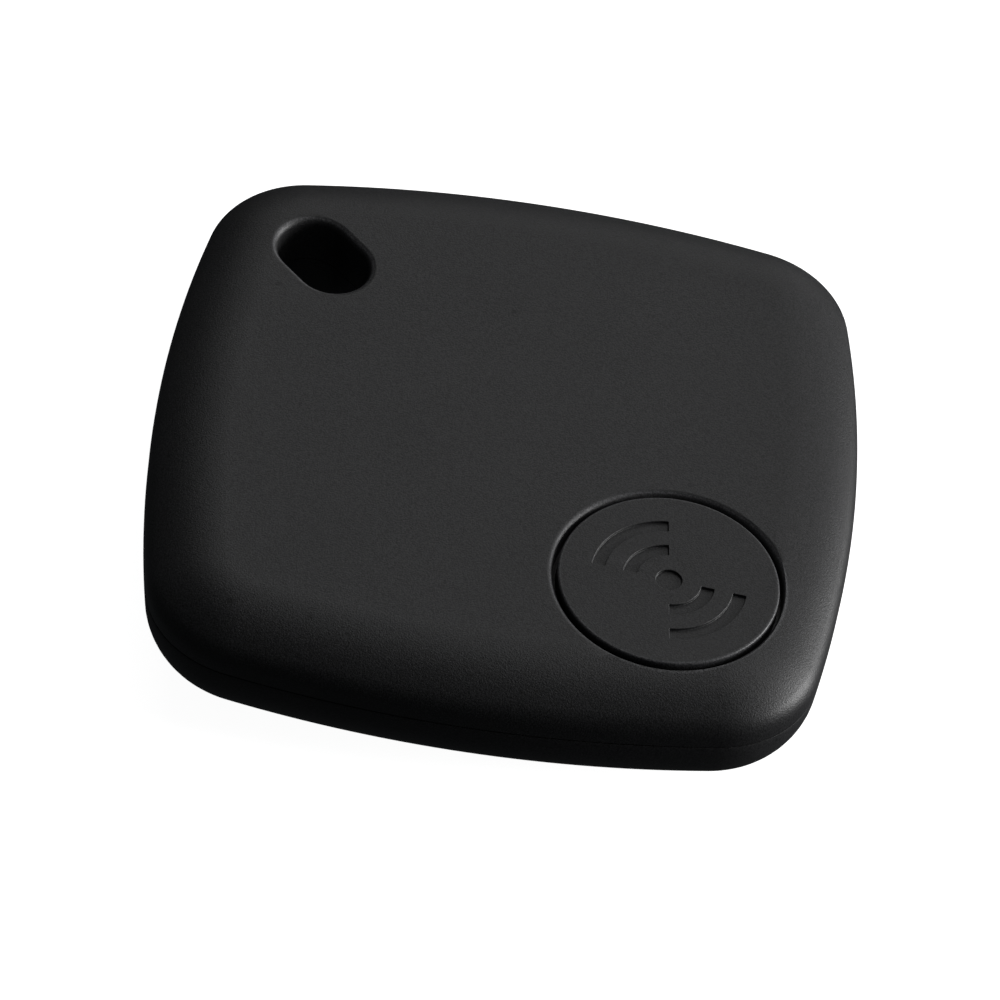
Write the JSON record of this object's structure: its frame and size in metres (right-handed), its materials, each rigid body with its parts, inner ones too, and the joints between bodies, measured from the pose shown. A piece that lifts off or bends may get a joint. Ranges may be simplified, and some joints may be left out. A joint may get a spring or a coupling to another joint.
{
  "type": "bluetooth tracker tag",
  "caption": "Square key-finder tag with softly rounded sides, a key-ring slot through one corner and a round push button in the opposite corner.",
  "frame": {"origin": "middle of the resting face, under the middle of the body", "axes": "+Z out of the button face; the key-ring slot is in the -X +Y corner and the button in the +X -Y corner"},
  "size_m": [0.038, 0.038, 0.0075],
  "materials": {
    "shell_plastic": "fine moulded grain, black",
    "button_plastic": "fine moulded grain, black",
    "ring_plastic": "plain, dark grey",
    "board_laminate": "green solder mask",
    "trace_copper": "copper under solder mask",
    "gold_plate": "gold plated",
    "chip_resin": "moulded resin",
    "crystal_can": "plated lid",
    "chip_body": "fired dielectric with tinned ends",
    "resistor_body": "coated film with tinned ends",
    "ferrite": "pressed ferrite",
    "spring_steel": "nickel plated",
    "cell_steel": "nickel plated",
    "seal_nylon": "moulded nylon",
    "cathode_powder": "pressed powder",
    "separator_felt": "non-woven sheet",
    "lithium": "soft bare metal",
    "tape": "double-sided tape",
    "sounder_brass": "rolled sheet",
    "piezo_ceramic": "fired",
    "silver_film": "fired silver",
    "red_insulation": "plain",
    "black_insulation": "plain",
    "solder": "bright solder",
    "switch_plastic": "glass-filled nylon",
    "plunger_plastic": "plain"
  },
  "bodies": {
    "base": {"rear_cover": "shell_plastic", "circuit_board": "board_laminate", "antenna_trace": "trace_copper", "board_pads": "gold_plate", "radio_chip": "chip_resin", "main_crystal": "crystal_can", "clock_crystal": "crystal_can", "capacitors": "chip_body", "resistors": "resistor_body", "boost_coil": "ferrite", "driver_transistor": "chip_resin", "negative_contact": "gold_plate", "battery_clip": "spring_steel", "cell_can": "cell_steel", "cell_seal": "seal_nylon", "cell_cap": "cell_steel", "cell_cathode": "cathode_powder", "cell_separator": "separator_felt", "cell_lithium": "lithium", "sounder_tape": "tape", "sounder_plate": "sounder_brass", "sounder_ceramic": "piezo_ceramic", "sounder_electrode": "silver_film", "red_wire": "red_insulation", "black_wire": "black_insulation", "wire_joints": "solder", "switch_housing": "switch_plastic", "switch_terminals": "spring_steel", "switch_dome": "spring_steel", "switch_cover": "spring_steel"},
    "front": {"front_shell": "shell_plastic", "button_retainer": "ring_plastic"},
    "button": {"button_cap": "button_plastic"},
    "plunger": {"switch_plunger": "plunger_plastic"}
  },
  "joints": [
    {"name": "front_lift", "type": "slide", "parent": "base", "child": "front", "axis": [0, 0, 1], "range_m": [0, 0.024]},
    {"name": "button_press", "type": "slide", "parent": "front", "child": "button", "axis": [0, 0, -1], "range_m": [0, 0.00025], "stiffness_N_per_m": 800, "springref_m": -0.001},
    {"name": "plunger_press", "type": "slide", "parent": "base", "child": "plunger", "axis": [0, 0, -1], "range_m": [0, 0.00025], "deforming": ["switch_dome"]}
  ],
  "couplings": [
    {"joint": "plunger_press", "follows": "button_press", "ratio": 1}
  ]
}
